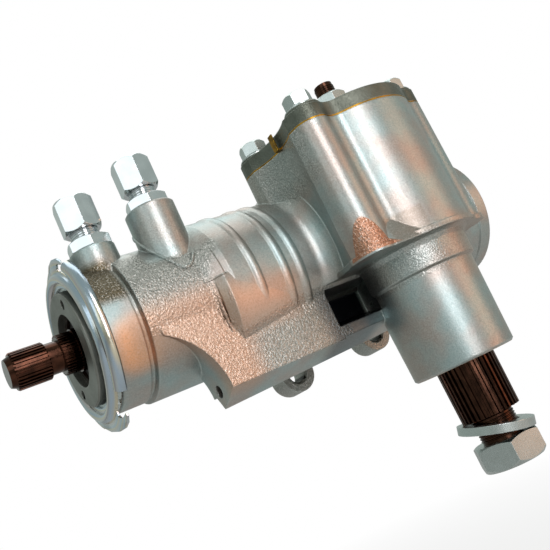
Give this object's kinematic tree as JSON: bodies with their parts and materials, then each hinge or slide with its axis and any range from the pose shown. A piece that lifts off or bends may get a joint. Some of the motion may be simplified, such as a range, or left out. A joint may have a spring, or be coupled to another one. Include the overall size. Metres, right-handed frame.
{
  "type": "steering gearbox",
  "caption": "Integral power steering gearbox: worm and rack piston in a cast tube, a splined sector shaft across it, capped oil ports and frame bolt ears.",
  "frame": {"origin": "centre of the first frame bolt hole, on the mounting face", "axes": "+X along the worm from the input shaft to the end plug, +Y out of the mounting face towards the vehicle frame, +Z along the sector shaft towards the side cover"},
  "size_m": [0.2934, 0.1308, 0.2346],
  "materials": {
    "cast_housing": "bright zinc plate over cast iron, satin",
    "cast_cover": "duller zinc plate over cast iron",
    "gasket": "gold coloured coated sheet",
    "plated_steel": "bright zinc plate",
    "oiled_steel": "dark oiled steel",
    "ground_steel": "ground steel",
    "plug_steel": "dull grey steel",
    "rubber": "nitrile rubber",
    "brass": "turned brass",
    "ring_polymer": "filled sealing polymer"
  },
  "bodies": {
    "housing": {"gear_housing": "cast_housing", "side_cover": "cast_cover", "side_cover_gasket": "gasket", "cover_bolts": "plated_steel", "lash_adjuster_screw": "oiled_steel", "lash_adjuster_locknut": "plated_steel", "sector_upper_bushing": "ground_steel", "sector_needle_bearing": "ground_steel", "sector_shaft_seals": "rubber", "sector_backup_washer": "ground_steel", "sector_retaining_ring": "oiled_steel", "worm_thrust_bearing": "ground_steel", "upper_thrust_bearing": "ground_steel", "adjuster_plug": "plug_steel", "adjuster_locknut": "plated_steel", "plug_oring": "rubber", "input_needle_bearing": "ground_steel", "input_oil_seal": "rubber", "input_dust_seal": "rubber", "input_snap_ring": "oiled_steel", "shield_retainer": "plated_steel", "port_adapters": "plated_steel", "port_cap_nuts": "plated_steel", "port_seats": "brass", "end_plug": "cast_cover", "end_plug_oring": "rubber", "end_retaining_ring": "oiled_steel"},
    "sector": {"sector_shaft": "oiled_steel", "pitman_nut": "plated_steel", "pitman_washer": "plated_steel"},
    "rack": {"rack_piston": "plug_steel", "recirculating_balls": "ground_steel", "ball_return_guide": "plated_steel", "ball_guide_clamp": "plated_steel", "rack_end_plug": "plug_steel", "piston_ring": "ring_polymer"},
    "worm": {"worm_shaft": "ground_steel", "valve_body": "ground_steel", "valve_rings": "ring_polymer"},
    "input": {"input_shaft": "oiled_steel", "torsion_bar": "ground_steel", "spool_valve": "ground_steel"}
  },
  "joints": [
    {"name": "sector_swing", "type": "hinge", "parent": "housing", "child": "sector", "pos_m": [0.055, -0.09, 0.052], "axis": [0, 0, 1], "range_deg": [-45, 45]},
    {"name": "rack_slide", "type": "slide", "parent": "housing", "child": "rack", "axis": [1, 0, 0], "range_m": [-0.019, 0.019]},
    {"name": "worm_spin", "type": "hinge", "parent": "housing", "child": "worm", "pos_m": [-0.045, -0.045, 0.052], "axis": [1, 0, 0], "range_deg": [-632, 632]},
    {"name": "input_twist", "type": "hinge", "parent": "worm", "child": "input", "pos_m": [-0.095, -0.045, 0.052], "axis": [1, 0, 0], "range_deg": [-7, 7], "stiffness_Nm_per_rad": 60}
  ],
  "couplings": [
    {"joint": "rack_slide", "follows": "sector_swing", "m_per_rad": -0.024},
    {"joint": "worm_spin", "follows": "sector_swing", "ratio": 14}
  ]
}
